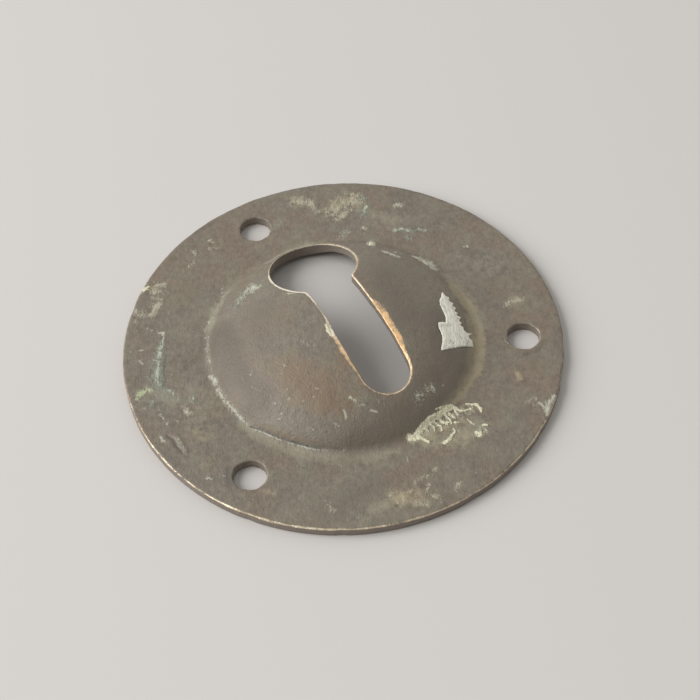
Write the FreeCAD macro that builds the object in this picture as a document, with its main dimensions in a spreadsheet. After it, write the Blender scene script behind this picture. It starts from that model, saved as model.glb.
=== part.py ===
import FreeCAD, Part
import math
import os
import Sketcher

# Keyhole escutcheon: a round plate pressed from one sheet of brass.
# A flat flange carries a hollow dome, a keyhole is punched through the dome,
# and screw holes with a broken edge stand in a ring on the flange.
# Frame: millimetres, +Z out of the front face, the back face at Z = 0,
# the origin at the middle of the back face and the keyhole's round end towards +Y.

NODE = "escutcheon_plate"

SIZES = [
    ("plate_diameter", 50.0, "outer diameter of the flange"),
    ("sheet_thickness", 1.2, "brass sheet, the same in flange and dome"),
    ("rim_front_ease", 0.3, "eased front edge of the rim"),
    ("rim_back_ease", 0.15, "eased back edge of the rim"),
    ("dome_diameter", 32.0, "where the foot of the dome runs out into the flange"),
    ("dome_height", 5.2, "crown of the dome above the flange's front face"),
    ("dome_wall_slope", 50.0, "steepest slope of the dome's wall, in degrees"),
    ("shoulder_radius", 5.0, "outer radius between crown and wall"),
    ("foot_radius", 1.5, "hollow radius at the foot of the dome"),
    ("keyhole_offset", 1.0, "keyhole's axis to the +X side of the plate's middle"),
    ("bow_to_foot", 1.7, "from the keyhole's round end out to the foot of the dome"),
    ("bow_diameter", 10.1, "round end of the keyhole"),
    ("slot_width", 5.65, "width of the keyhole's leg"),
    ("slot_to_foot", 5.0, "from the leg's end out to the foot of the dome"),
    ("neck_round_left", 1.0, "worn corner between round end and leg, -X side"),
    ("neck_round_right", 0.5, "corner between round end and leg, +X side"),
    ("keyhole_edge_ease", 0.2, "eased front edge of the keyhole"),
    ("screw_count", 3, "screw holes, midway between the foot of the dome and the rim"),
    ("screw_turn", 3.4, "first screw hole turned from +Y towards -X, in degrees"),
    ("screw_hole_diameter", 3.7, "clearance hole for a round-head screw"),
    ("countersink_diameter", 4.2, "broken edge of the screw hole at the front face"),
    ("countersink_angle", 90.0, "full angle of that broken edge, in degrees"),
]

# Sketch references: the ends and the centre of a curve, then the sketch's own axes.
TO_START, TO_END, TO_CENTRE = range(1, 4)
X_AXIS, Y_AXIS = range(-1, -3, -1)
ORIGIN_POINT = (X_AXIS, TO_START)
Z_UP = FreeCAD.Vector(0, 0, 1)
FULL_TURN = 360.0
HALF_TURN = FULL_TURN / 2
QUARTER_TURN = FULL_TURN / 4
FLAT_TOLERANCE = 1e-4


def make_sheet(doc):
    """Put the driving dimensions into a spreadsheet, one aliased cell each."""
    sheet = doc.addObject("Spreadsheet::Sheet", "Sizes")
    for row, (alias, value, note) in enumerate(SIZES, start=1):
        sheet.set(f"A{row}", note)
        sheet.set(f"B{row}", str(value))
        sheet.setAlias(f"B{row}", alias)
    doc.recompute()
    return sheet


def origin_feature(body, role):
    """Return one of the body's own origin planes or axes."""
    for feature in body.Origin.OriginFeatures:
        if feature.Role == role:
            return feature
    raise LookupError(role)


def new_sketch(body, name, role):
    """Add a sketch to the body, lying on one of its origin planes."""
    sketch = body.newObject("Sketcher::SketchObject", name)
    sketch.AttachmentSupport = [(origin_feature(body, role), "")]
    sketch.MapMode = "FlatFace"
    return sketch


def add_line(sketch, start, end):
    line = Part.LineSegment(FreeCAD.Vector(*start, 0), FreeCAD.Vector(*end, 0))
    return sketch.addGeometry(line, False)


def add_arc(sketch, centre, radius, start_deg, end_deg):
    circle = Part.Circle(FreeCAD.Vector(*centre, 0), Z_UP, radius)
    arc = Part.ArcOfCircle(circle, math.radians(start_deg), math.radians(end_deg))
    return sketch.addGeometry(arc, False)


def bind(sketch, name, kind, geometry, value, expression):
    """Add a named dimension and drive it from the spreadsheet."""
    index = sketch.addConstraint(Sketcher.Constraint(kind, *geometry, value))
    sketch.renameConstraint(index, name)
    sketch.setExpression(f"Constraints.{name}", expression)


def relate(sketch, kind, *geometry):
    sketch.addConstraint(Sketcher.Constraint(kind, *geometry))


def dome_arcs(sheet):
    """Lay out the dome's outer arcs: crown, shoulder and hollow foot, tangent in that order."""
    slope = math.radians(sheet.dome_wall_slope)
    shoulder_and_foot = sheet.shoulder_radius + sheet.foot_radius
    run = sheet.dome_diameter / 2 - shoulder_and_foot * math.sin(slope)
    rise = sheet.dome_height - shoulder_and_foot * (1 - math.cos(slope))
    crown_half_angle = 2 * math.atan2(rise, run)
    crown_radius = run / math.sin(crown_half_angle) + sheet.shoulder_radius
    crown_centre = (0.0, sheet.sheet_thickness + sheet.dome_height - crown_radius)
    foot_centre = (sheet.dome_diameter / 2, sheet.sheet_thickness + sheet.foot_radius)
    shoulder_centre = (
        foot_centre[0] - shoulder_and_foot * math.sin(slope),
        foot_centre[1] - shoulder_and_foot * math.cos(slope),
    )
    shoulder_start = QUARTER_TURN - sheet.dome_wall_slope
    shoulder_end = QUARTER_TURN - math.degrees(crown_half_angle)
    return [
        (crown_centre, crown_radius, shoulder_end, QUARTER_TURN),
        (shoulder_centre, sheet.shoulder_radius, shoulder_start, shoulder_end),
        (foot_centre, sheet.foot_radius, HALF_TURN + shoulder_start, HALF_TURN + QUARTER_TURN),
    ]


def draw_section(sketch, sheet):
    """Half section of the pressed sheet: outer skin, rim, back face and inner skin."""
    thickness = sheet.sheet_thickness
    rim = sheet.plate_diameter / 2
    foot = sheet.dome_diameter / 2
    top = thickness + sheet.dome_height
    skin_steps = (-thickness, -thickness, thickness)
    outer = [add_arc(sketch, *arc) for arc in dome_arcs(sheet)]
    inner = [
        add_arc(sketch, centre, radius + step, start, end)
        for (centre, radius, start, end), step in zip(dome_arcs(sheet), skin_steps)
    ]
    crown, shoulder, hollow = outer
    face = add_line(sketch, (foot, thickness), (rim, thickness))
    edge = add_line(sketch, (rim, thickness), (rim, 0.0))
    back = add_line(sketch, (rim, 0.0), (foot, 0.0))
    axis = add_line(sketch, (0.0, top - thickness), (0.0, top))

    for skin, flat, flat_end in ((outer, face, TO_START), (inner, back, TO_END)):
        relate(sketch, "Tangent", skin[0], TO_START, skin[1], TO_END)
        relate(sketch, "Tangent", skin[1], TO_START, skin[2], TO_START)
        relate(sketch, "Tangent", skin[2], TO_END, flat, flat_end)
        relate(sketch, "PointOnObject", skin[0], TO_END, Y_AXIS)
    for outside, inside in zip(outer, inner):
        relate(sketch, "Coincident", outside, TO_CENTRE, inside, TO_CENTRE)
    relate(sketch, "PointOnObject", crown, TO_CENTRE, Y_AXIS)
    relate(sketch, "Coincident", axis, TO_START, inner[0], TO_END)
    relate(sketch, "Coincident", axis, TO_END, crown, TO_END)
    relate(sketch, "Coincident", face, TO_END, edge, TO_START)
    relate(sketch, "Coincident", edge, TO_END, back, TO_START)
    relate(sketch, "Horizontal", face)
    relate(sketch, "Vertical", edge)
    relate(sketch, "Horizontal", back)
    relate(sketch, "PointOnObject", back, TO_START, X_AXIS)

    bind(sketch, "Thickness", "DistanceY", (edge, TO_END, edge, TO_START), thickness,
         "Sizes.sheet_thickness")
    bind(sketch, "RimRadius", "DistanceX", (*ORIGIN_POINT, edge, TO_START), rim,
         "Sizes.plate_diameter / 2")
    bind(sketch, "FootRun", "DistanceX", (*ORIGIN_POINT, hollow, TO_END), foot,
         "Sizes.dome_diameter / 2")
    bind(sketch, "DomeHeight", "DistanceY", (face, TO_START, crown, TO_END),
         sheet.dome_height, "Sizes.dome_height")
    bind(sketch, "Shoulder", "Radius", (shoulder,), sheet.shoulder_radius,
         "Sizes.shoulder_radius")
    bind(sketch, "Foot", "Radius", (hollow,), sheet.foot_radius, "Sizes.foot_radius")
    bind(sketch, "WallSlope", "Angle", (hollow,), math.radians(sheet.dome_wall_slope),
         "Sizes.dome_wall_slope * 1 deg")


def draw_keyhole(sketch, sheet):
    """Keyhole outline: round end, two eased necks and a straight leg with a round end."""
    middle = sheet.keyhole_offset
    half_slot = sheet.slot_width / 2
    bow_radius = sheet.bow_diameter / 2
    foot = sheet.dome_diameter / 2
    bow = (middle, foot - sheet.bow_to_foot - bow_radius)
    slot_end = sheet.slot_to_foot + half_slot - foot
    necks = []
    for side, round_radius in ((1, sheet.neck_round_right), (-1, sheet.neck_round_left)):
        across = half_slot + round_radius
        drop = math.sqrt((bow_radius + round_radius) ** 2 - across ** 2)
        bearing = math.degrees(math.atan2(drop, across))
        necks.append(((middle + side * across, bow[1] - drop), round_radius, bearing))
    (right_centre, right_round, right_bearing), (left_centre, left_round, left_bearing) = necks

    round_end = add_arc(sketch, bow, bow_radius, -right_bearing, HALF_TURN + left_bearing)
    right_neck = add_arc(sketch, right_centre, right_round, HALF_TURN - right_bearing, HALF_TURN)
    left_neck = add_arc(sketch, left_centre, left_round, 0.0, left_bearing)
    right_wall = add_line(sketch, (middle + half_slot, right_centre[1]), (middle + half_slot, slot_end))
    left_wall = add_line(sketch, (middle - half_slot, left_centre[1]), (middle - half_slot, slot_end))
    leg_end = add_arc(sketch, (middle, slot_end), half_slot, HALF_TURN, FULL_TURN)

    relate(sketch, "Tangent", round_end, TO_START, right_neck, TO_START)
    relate(sketch, "Tangent", round_end, TO_END, left_neck, TO_END)
    relate(sketch, "Tangent", right_neck, TO_END, right_wall, TO_START)
    relate(sketch, "Tangent", left_neck, TO_START, left_wall, TO_START)
    relate(sketch, "Tangent", right_wall, TO_END, leg_end, TO_END)
    relate(sketch, "Tangent", left_wall, TO_END, leg_end, TO_START)
    relate(sketch, "Vertical", right_wall)
    relate(sketch, "Vertical", left_wall)
    relate(sketch, "Vertical", round_end, TO_CENTRE, leg_end, TO_CENTRE)

    bind(sketch, "Offset", "DistanceX", (*ORIGIN_POINT, round_end, TO_CENTRE), middle,
         "Sizes.keyhole_offset")
    bind(sketch, "BowCentre", "DistanceY", (*ORIGIN_POINT, round_end, TO_CENTRE), bow[1],
         "Sizes.dome_diameter / 2 - Sizes.bow_to_foot - Sizes.bow_diameter / 2")
    bind(sketch, "BowRadius", "Radius", (round_end,), bow_radius, "Sizes.bow_diameter / 2")
    bind(sketch, "LegRadius", "Radius", (leg_end,), half_slot, "Sizes.slot_width / 2")
    bind(sketch, "LegEnd", "DistanceY", (leg_end, TO_CENTRE, *ORIGIN_POINT), -slot_end,
         "Sizes.dome_diameter / 2 - Sizes.slot_to_foot - Sizes.slot_width / 2")
    bind(sketch, "NeckRight", "Radius", (right_neck,), right_round, "Sizes.neck_round_right")
    bind(sketch, "NeckLeft", "Radius", (left_neck,), left_round, "Sizes.neck_round_left")


def draw_screw_hole(sketch, sheet):
    """First screw hole, in the middle of the flange's width, on a radius turned from +Y."""
    reach = (sheet.plate_diameter + sheet.dome_diameter) / 4
    turn = math.radians(sheet.screw_turn)
    centre = (-reach * math.sin(turn), reach * math.cos(turn))
    radius_line = add_line(sketch, (0.0, 0.0), centre)
    sketch.toggleConstruction(radius_line)
    circle = Part.Circle(FreeCAD.Vector(*centre, 0), Z_UP, sheet.screw_hole_diameter / 2)
    hole = sketch.addGeometry(circle, False)
    relate(sketch, "Coincident", radius_line, TO_START, *ORIGIN_POINT)
    relate(sketch, "Coincident", radius_line, TO_END, hole, TO_CENTRE)
    bind(sketch, "Reach", "Distance", (radius_line,), reach,
         "(Sizes.plate_diameter + Sizes.dome_diameter) / 4")
    bind(sketch, "Turn", "Angle", (Y_AXIS, TO_START, radius_line, TO_START), turn,
         "Sizes.screw_turn * 1 deg")
    bind(sketch, "HoleRadius", "Radius", (hole,), sheet.screw_hole_diameter / 2,
         "Sizes.screw_hole_diameter / 2")


def ease_edges(body, name, base, edges, size):
    """Chamfer the given edges of the last feature by a size from the spreadsheet."""
    names = [f"Edge{number}" for number, edge in enumerate(base.Shape.Edges, start=1)
             if any(edge.isSame(wanted) for wanted in edges)]
    chamfer = body.newObject("PartDesign::Chamfer", name)
    chamfer.Base = (base, names)
    chamfer.setExpression("Size", f"Sizes.{size}")
    body.Document.recompute()
    return chamfer


def rim_edge(shape, sheet, height):
    """The rim's circle at one height."""
    for edge in shape.Edges:
        on_rim = abs(edge.BoundBox.XMax - sheet.plate_diameter / 2) < FLAT_TOLERANCE
        level = max(abs(edge.BoundBox.ZMax - height), abs(edge.BoundBox.ZMin - height))
        if on_rim and level < FLAT_TOLERANCE:
            return edge
    raise LookupError("rim edge")


def rise_of_face(face, point):
    """Z part of the face's outward normal at a point on it."""
    return face.normalAt(*face.Surface.parameter(point)).z


def keyhole_front_edges(shape, sheet):
    """Edges where the keyhole's upright walls meet the front skin of the dome."""
    found = []
    for edge in shape.Edges:
        middle = edge.valueAt((edge.FirstParameter + edge.LastParameter) / 2)
        if math.hypot(middle.x, middle.y) > sheet.dome_diameter / 2:
            continue
        rises = [rise_of_face(face, middle) for face in shape.ancestorsOfType(edge, Part.Face)]
        if len(rises) == 2 and abs(min(rises)) < FLAT_TOLERANCE and max(rises) > FLAT_TOLERANCE:
            found.append(edge)
    return found


def cut_check(before, after, name):
    """A cut that points away from the sheet removes nothing and raises no error of its own."""
    if not after.Shape.Volume < before.Shape.Volume:
        raise RuntimeError(f"{name} removed nothing")


def make_plate(doc, sheet):
    """Press the sheet, ease its rim, punch the keyhole and sink the screw holes."""
    body = doc.addObject("PartDesign::Body", "EscutcheonPlate")
    body.Label = NODE

    section = new_sketch(body, "SheetSection", "XZ_Plane")
    draw_section(section, sheet)
    doc.recompute()
    pressing = body.newObject("PartDesign::Revolution", "Pressing")
    pressing.Profile = section
    pressing.ReferenceAxis = (section, ["V_Axis"])
    pressing.Angle = FULL_TURN
    doc.recompute()

    front = rim_edge(pressing.Shape, sheet, sheet.sheet_thickness)
    front_rim = ease_edges(body, "FrontRim", pressing, [front], "rim_front_ease")
    rear = rim_edge(front_rim.Shape, sheet, 0.0)
    back_rim = ease_edges(body, "BackRim", front_rim, [rear], "rim_back_ease")

    outline = new_sketch(body, "KeyholeOutline", "XY_Plane")
    draw_keyhole(outline, sheet)
    doc.recompute()
    keyhole = body.newObject("PartDesign::Pocket", "Keyhole")
    keyhole.Profile = outline
    keyhole.Type = "ThroughAll"
    keyhole.Reversed = True
    doc.recompute()
    cut_check(back_rim, keyhole, "Keyhole")
    edges = keyhole_front_edges(keyhole.Shape, sheet)
    keyhole_edge = ease_edges(body, "KeyholeEdge", keyhole, edges, "keyhole_edge_ease")

    seat = new_sketch(body, "ScrewSeat", "XY_Plane")
    seat.setExpression("AttachmentOffset.Base.z", "Sizes.sheet_thickness")
    draw_screw_hole(seat, sheet)
    doc.recompute()
    hole = body.newObject("PartDesign::Hole", "ScrewHole")
    hole.Profile = seat
    hole.Threaded = False
    hole.DepthType = "ThroughAll"
    hole.HoleCutType = "Countersink"
    hole.HoleCutCustomValues = True
    hole.setExpression("Diameter", "Sizes.screw_hole_diameter")
    hole.setExpression("HoleCutDiameter", "Sizes.countersink_diameter")
    hole.setExpression("HoleCutCountersinkAngle", "Sizes.countersink_angle")
    doc.recompute()
    cut_check(keyhole_edge, hole, "ScrewHole")

    ring = body.newObject("PartDesign::PolarPattern", "ScrewRing")
    ring.Originals = [hole]
    ring.Axis = (origin_feature(body, "Z_Axis"), [""])
    ring.Angle = FULL_TURN
    ring.setExpression("Occurrences", "Sizes.screw_count")
    body.Tip = ring
    doc.recompute()
    if sheet.screw_count > 1:
        cut_check(hole, ring, "ScrewRing")
    body.Placement = FreeCAD.Placement()
    return body


def check_document(doc):
    """Stop before anything is written if a feature failed."""
    for item in doc.Objects:
        if "Invalid" in item.State or "Error" in item.State:
            raise RuntimeError(f"{item.Name} did not compute")


def export(body):
    shape = body.Shape
    if shape.isNull() or not shape.isValid():
        raise RuntimeError(f"{body.Label} has no valid shape")
    shape.exportStep(os.path.join("parts", f"{body.Label}.step"))
    print(f"{body.Label}: {len(shape.Solids)} solid, volume {shape.Volume:.1f} mm3")


def main():
    doc = FreeCAD.newDocument("KeyholeEscutcheon")
    sheet = make_sheet(doc)
    plate = make_plate(doc, sheet)
    doc.recompute()
    check_document(doc)
    os.makedirs("parts", exist_ok=True)
    export(plate)


main()
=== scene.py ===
"""Looks of the keyhole escutcheon: its patinated skin, the scrap of paper on it, floor, light and camera."""

import math

import bpy
import numpy as np
from mathutils import Matrix, Vector
from mathutils.geometry import delaunay_2d_cdt


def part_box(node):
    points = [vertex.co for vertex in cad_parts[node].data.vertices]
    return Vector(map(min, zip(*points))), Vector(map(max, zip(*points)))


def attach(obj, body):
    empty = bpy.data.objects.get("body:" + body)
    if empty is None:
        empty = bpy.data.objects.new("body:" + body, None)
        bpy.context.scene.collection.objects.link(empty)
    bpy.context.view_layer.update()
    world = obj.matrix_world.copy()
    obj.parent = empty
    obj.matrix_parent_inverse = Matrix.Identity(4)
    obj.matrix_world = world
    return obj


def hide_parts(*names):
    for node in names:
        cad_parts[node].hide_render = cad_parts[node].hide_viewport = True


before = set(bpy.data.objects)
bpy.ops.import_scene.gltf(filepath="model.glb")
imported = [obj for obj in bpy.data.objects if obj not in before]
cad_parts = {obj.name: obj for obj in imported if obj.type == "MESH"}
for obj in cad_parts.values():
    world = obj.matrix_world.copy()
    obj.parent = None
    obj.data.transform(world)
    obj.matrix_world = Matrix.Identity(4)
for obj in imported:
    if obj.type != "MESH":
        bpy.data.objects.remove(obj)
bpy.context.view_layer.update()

# Sizes in millimetres, in the CAD frame: +Z out of the front, the keyhole's round end towards +Y.
MM = 0.001
NODE = "escutcheon_plate"
HIGH_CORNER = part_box(NODE)[1]
RIM_RADIUS = HIGH_CORNER.x / MM
BOX_TOP = HIGH_CORNER.z / MM
THICKNESS = 1.2
FOOT_RING = 16.0
DOME_HEIGHT = 5.2
WALL_SLOPE = math.radians(50.0)
SHOULDER_RADIUS = 5.0
FOOT_RADIUS = 1.5
KEY_X = 1.0
BOW_Y = 9.25
BOW_RADIUS = 5.05
HALF_SLOT = 2.825
LEG_END_Y = -8.175
NECK_ROUND_LEFT = 1.0
NECK_ROUND_RIGHT = 0.5
SCREW_REACH = 20.5
SCREW_TURN = math.radians(93.4)
SCREW_RADIUS = 1.85
SCREW_COUNT = 3
FULL_TURN = 2 * math.pi

# The photograph's camera, as fitted to the rim, the dome and the keyhole.
LENS = 83.26
SENSOR = 36.0
CAMERA_AZIMUTH = math.radians(-25.7)
CAMERA_ELEVATION = math.radians(51.86)
CAMERA_ROLL = math.radians(-2.563)
CAMERA_DISTANCE = 184.6
CAMERA_TARGET = (0.559, -0.610, 0.0)

# Mesh spacing in millimetres, and the steps of a border's rings as shares of its eased edge.
FINE_LATTICE = 0.11
FRONT_LATTICE = 0.22
BACK_LATTICE = 0.55
KEYHOLE_SPACING = 0.14
SCREW_SPACING = 0.1
RIM_SPACING = 0.2
EASE_STEPS = (1.0, 0.72, 0.48, 0.28, 0.12, 0.0)
WALL_STEPS = (0.1, 0.3, 0.55, 0.8)
BACK_EASE_STEPS = (0.0, 0.4, 1.0)
BACK_EASE = 0.12
BACK_EASE_RISE = 0.7
LATTICE_SHAKE = 0.08
TOUCHING = 1e-7


def smooth(value):
    """Ease from 0 to 1 with level ends."""
    part = np.clip(value, 0.0, 1.0)
    return part * part * (3.0 - 2.0 * part)


def noise(points, size, seed):
    """Smooth random field from -1 to 1 over the plan, with bumps about size across."""
    cells = 96
    table = np.random.default_rng(seed).uniform(-1.0, 1.0, (cells, cells))
    turn = 0.5 + seed
    x = (points[:, 0] * math.cos(turn) - points[:, 1] * math.sin(turn)) / size
    y = (points[:, 0] * math.sin(turn) + points[:, 1] * math.cos(turn)) / size
    column = np.floor(x).astype(int)
    row = np.floor(y).astype(int)
    across = smooth(x - column)
    along = smooth(y - row)
    corner = [table[(column + dx) % cells, (row + dy) % cells] for dx in (0, 1) for dy in (0, 1)]
    near = corner[0] * (1 - along) + corner[1] * along
    far = corner[2] * (1 - along) + corner[3] * along
    return near * (1 - across) + far * across


def fractal(points, size, seed, octaves=3):
    """Noise with finer and weaker octaves on top."""
    total = sum(noise(points, size / 2 ** k, seed + k) / 2 ** k for k in range(octaves))
    return total / sum(1 / 2 ** k for k in range(octaves))


def skin_height(points, inset):
    """Height of the pressed sheet's skin over the plan, inset below the front face."""
    reach = SHOULDER_RADIUS + FOOT_RADIUS
    run = FOOT_RING - reach * math.sin(WALL_SLOPE)
    rise = DOME_HEIGHT - reach * (1 - math.cos(WALL_SLOPE))
    half_angle = 2 * math.atan2(rise, run)
    crown = run / math.sin(half_angle) + SHOULDER_RADIUS
    crown_z = THICKNESS + DOME_HEIGHT - crown
    foot_z = THICKNESS + FOOT_RADIUS
    shoulder_z = foot_z - reach * math.cos(WALL_SLOPE)
    radius = np.hypot(points[:, 0], points[:, 1])
    crown_ends = (crown - inset) * math.sin(half_angle)
    shoulder_ends = run + (SHOULDER_RADIUS - inset) * math.sin(WALL_SLOPE)

    def arc(size, distance):
        return np.sqrt(np.maximum(size ** 2 - distance ** 2, 0.0))

    return np.select(
        [radius < crown_ends, radius < shoulder_ends, radius < FOOT_RING],
        [
            crown_z + arc(crown - inset, radius),
            shoulder_z + arc(SHOULDER_RADIUS - inset, radius - run),
            foot_z - arc(FOOT_RADIUS + inset, radius - FOOT_RING),
        ],
        THICKNESS - inset,
    )


# Marks on the front, read from the photograph. Each has its strength, then a path of x, y and half width.
TEAL_MARKS = (
    # Streak on the left of the flange, and the stains below it
    (0.9, (-17.9, 10.4, 0.2), (-18.4, 9.6, 0.3), (-19.0, 8.5, 0.4), (-19.9, 7.0, 0.5), (-20.6, 5.6, 0.6)),
    (0.75, (-20.6, 5.6, 0.6), (-20.9, 4.2, 0.6)), (0.6, (-20.9, 4.2, 0.9), (-21.2, 3.0, 0.9)),
    (0.75, (-20.25, 3.4, 0.2), (-20.2, 2.7, 0.25)), (0.8, (-18.2, 1.1, 0.3), (-18.3, 0.4, 0.3)),
    (0.6, (-22.3, 2.9, 0.3), (-22.8, 2.3, 0.3)),
    # Smear and stains at the top right
    (0.75, (13.4, 12.1, 0.3), (14.4, 11.6, 0.35), (15.4, 10.9, 0.3), (16.6, 10.3, 0.25)),
    (0.65, (14.0, 10.6, 0.2), (14.3, 9.8, 0.25)),
    (0.8, (12.4, 17.3, 0.35), (11.7, 16.7, 0.4), (11.0, 16.0, 0.3)),
    (0.6, (12.6, 18.9, 0.35), (12.4, 18.1, 0.3)), (0.5, (7.2, 14.5, 0.5), (8.2, 14.7, 0.4)),
    (0.5, (1.2, 19.4, 0.4), (2.2, 20.0, 0.4)),
    # Smudge on the dome and spots at the bottom
    (0.65, (-8.9, 9.2, 0.4), (-7.4, 10.0, 0.7), (-6.0, 10.2, 0.9)),
    (0.8, (-9.6, -20.9, 0.25), (-9.3, -21.5, 0.3)), (0.85, (2.4, -12.85, 0.26)),
    (0.5, (15.0, -19.5, 0.5), (15.5, -18.6, 0.5), (16.6, -18.1, 0.3)),
)
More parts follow.
